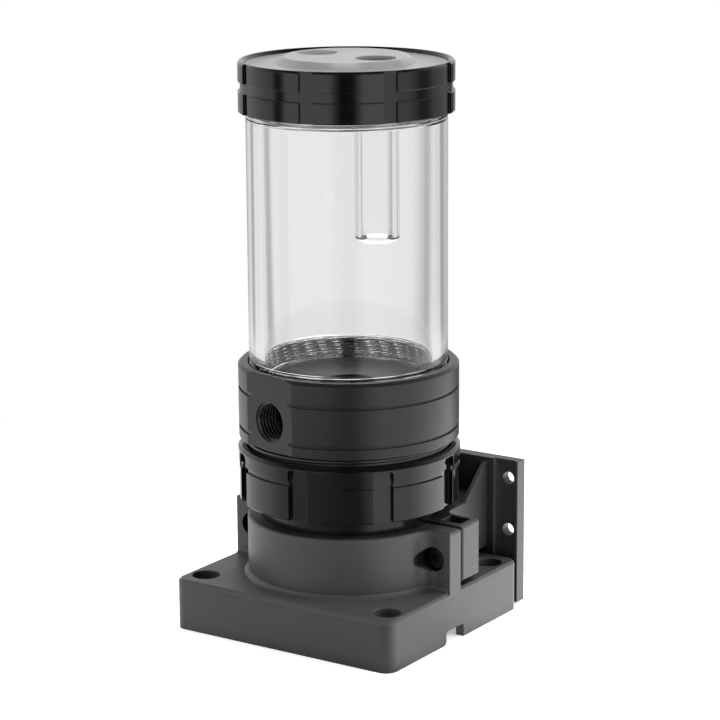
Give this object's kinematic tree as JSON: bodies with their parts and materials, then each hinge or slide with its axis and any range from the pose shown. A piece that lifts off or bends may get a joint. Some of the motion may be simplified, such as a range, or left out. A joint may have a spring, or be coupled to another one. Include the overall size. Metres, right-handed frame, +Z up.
{
  "type": "coolant pump reservoir",
  "caption": "Clear tube reservoir screwed onto a liquid cooling pump, with a grooved cap ring and lock ring, held in a two-part clamp on a stand base with a wall plate.",
  "frame": {"origin": "pump axis at the foot plane of the stand base", "axes": "+Z up along the pump axis, front of the base towards -Y, wall plate towards +Y, +X to the right seen from the front"},
  "size_m": [0.085, 0.085, 0.1879],
  "materials": {
    "base_plastic": "satin moulded",
    "bracket_plastic": "satin moulded",
    "pump_plastic": "moulded",
    "machined_black": "fine turned",
    "gloss_black": "turned and polished",
    "clear_acrylic": "polished clear",
    "seal_rubber": "smooth",
    "screw_steel": "plain",
    "bowl_steel": "pressed",
    "core_iron": "laminated",
    "coil_copper": "enamelled wire",
    "board_green": "solder mask",
    "ceramic_white": "polished",
    "magnet_grey": "bonded",
    "impeller_plastic": "moulded",
    "dial_red": "moulded"
  },
  "bodies": {
    "stand_and_pump": {"stand_base": "base_plastic", "clamp_bracket": "bracket_plastic", "clamp_screws": "screw_steel", "clamp_nuts": "screw_steel", "pump_housing": "pump_plastic", "pump_end_cap": "pump_plastic", "circuit_board": "board_green", "stator_core": "core_iron", "stator_coils": "coil_copper", "rotor_bowl": "bowl_steel", "bearing_post": "bowl_steel", "bearing_ball": "ceramic_white", "flange_oring": "seal_rubber"},
    "dial": {"speed_dial": "dial_red"},
    "rotor": {"rotor_magnet": "magnet_grey", "impeller": "impeller_plastic"},
    "lock": {"lock_ring": "gloss_black"},
    "reservoir": {"pump_top": "machined_black", "tube_oring": "seal_rubber", "reservoir_tube": "clear_acrylic"},
    "lid_unit": {"lid": "clear_acrylic", "lid_oring": "seal_rubber", "dip_tube": "clear_acrylic"},
    "cap": {"cap_ring": "gloss_black"}
  },
  "joints": [
    {"name": "dial_turn", "type": "hinge", "parent": "stand_and_pump", "child": "dial", "pos_m": [0, -0.014, 0.006], "axis": [0, 0, 1], "range_deg": [0, 240]},
    {"name": "rotor_spin", "type": "hinge", "parent": "stand_and_pump", "child": "rotor", "pos_m": [0, 0, 0.052], "axis": [0, 0, 1], "continuous": true},
    {"name": "lock_turn", "type": "hinge", "parent": "stand_and_pump", "child": "lock", "pos_m": [0, 0, 0.05], "axis": [0, 0, -1], "range_deg": [0, 1260]},
    {"name": "reservoir_lift", "type": "slide", "parent": "stand_and_pump", "child": "reservoir", "axis": [0, 0, 1], "range_m": [0, 0.00701]},
    {"name": "lid_lift", "type": "slide", "parent": "reservoir", "child": "lid_unit", "axis": [0, 0, 1], "range_m": [0, 0.01001]},
    {"name": "cap_turn", "type": "hinge", "parent": "lid_unit", "child": "cap", "pos_m": [0, 0, 0.178], "axis": [0, 0, 1], "range_deg": [0, 2880]}
  ],
  "couplings": [
    {"joint": "reservoir_lift", "follows": "lock_turn", "m_per_rad": 0.00031831},
    {"joint": "lid_lift", "follows": "cap_turn", "m_per_rad": 0.00019894}
  ]
}
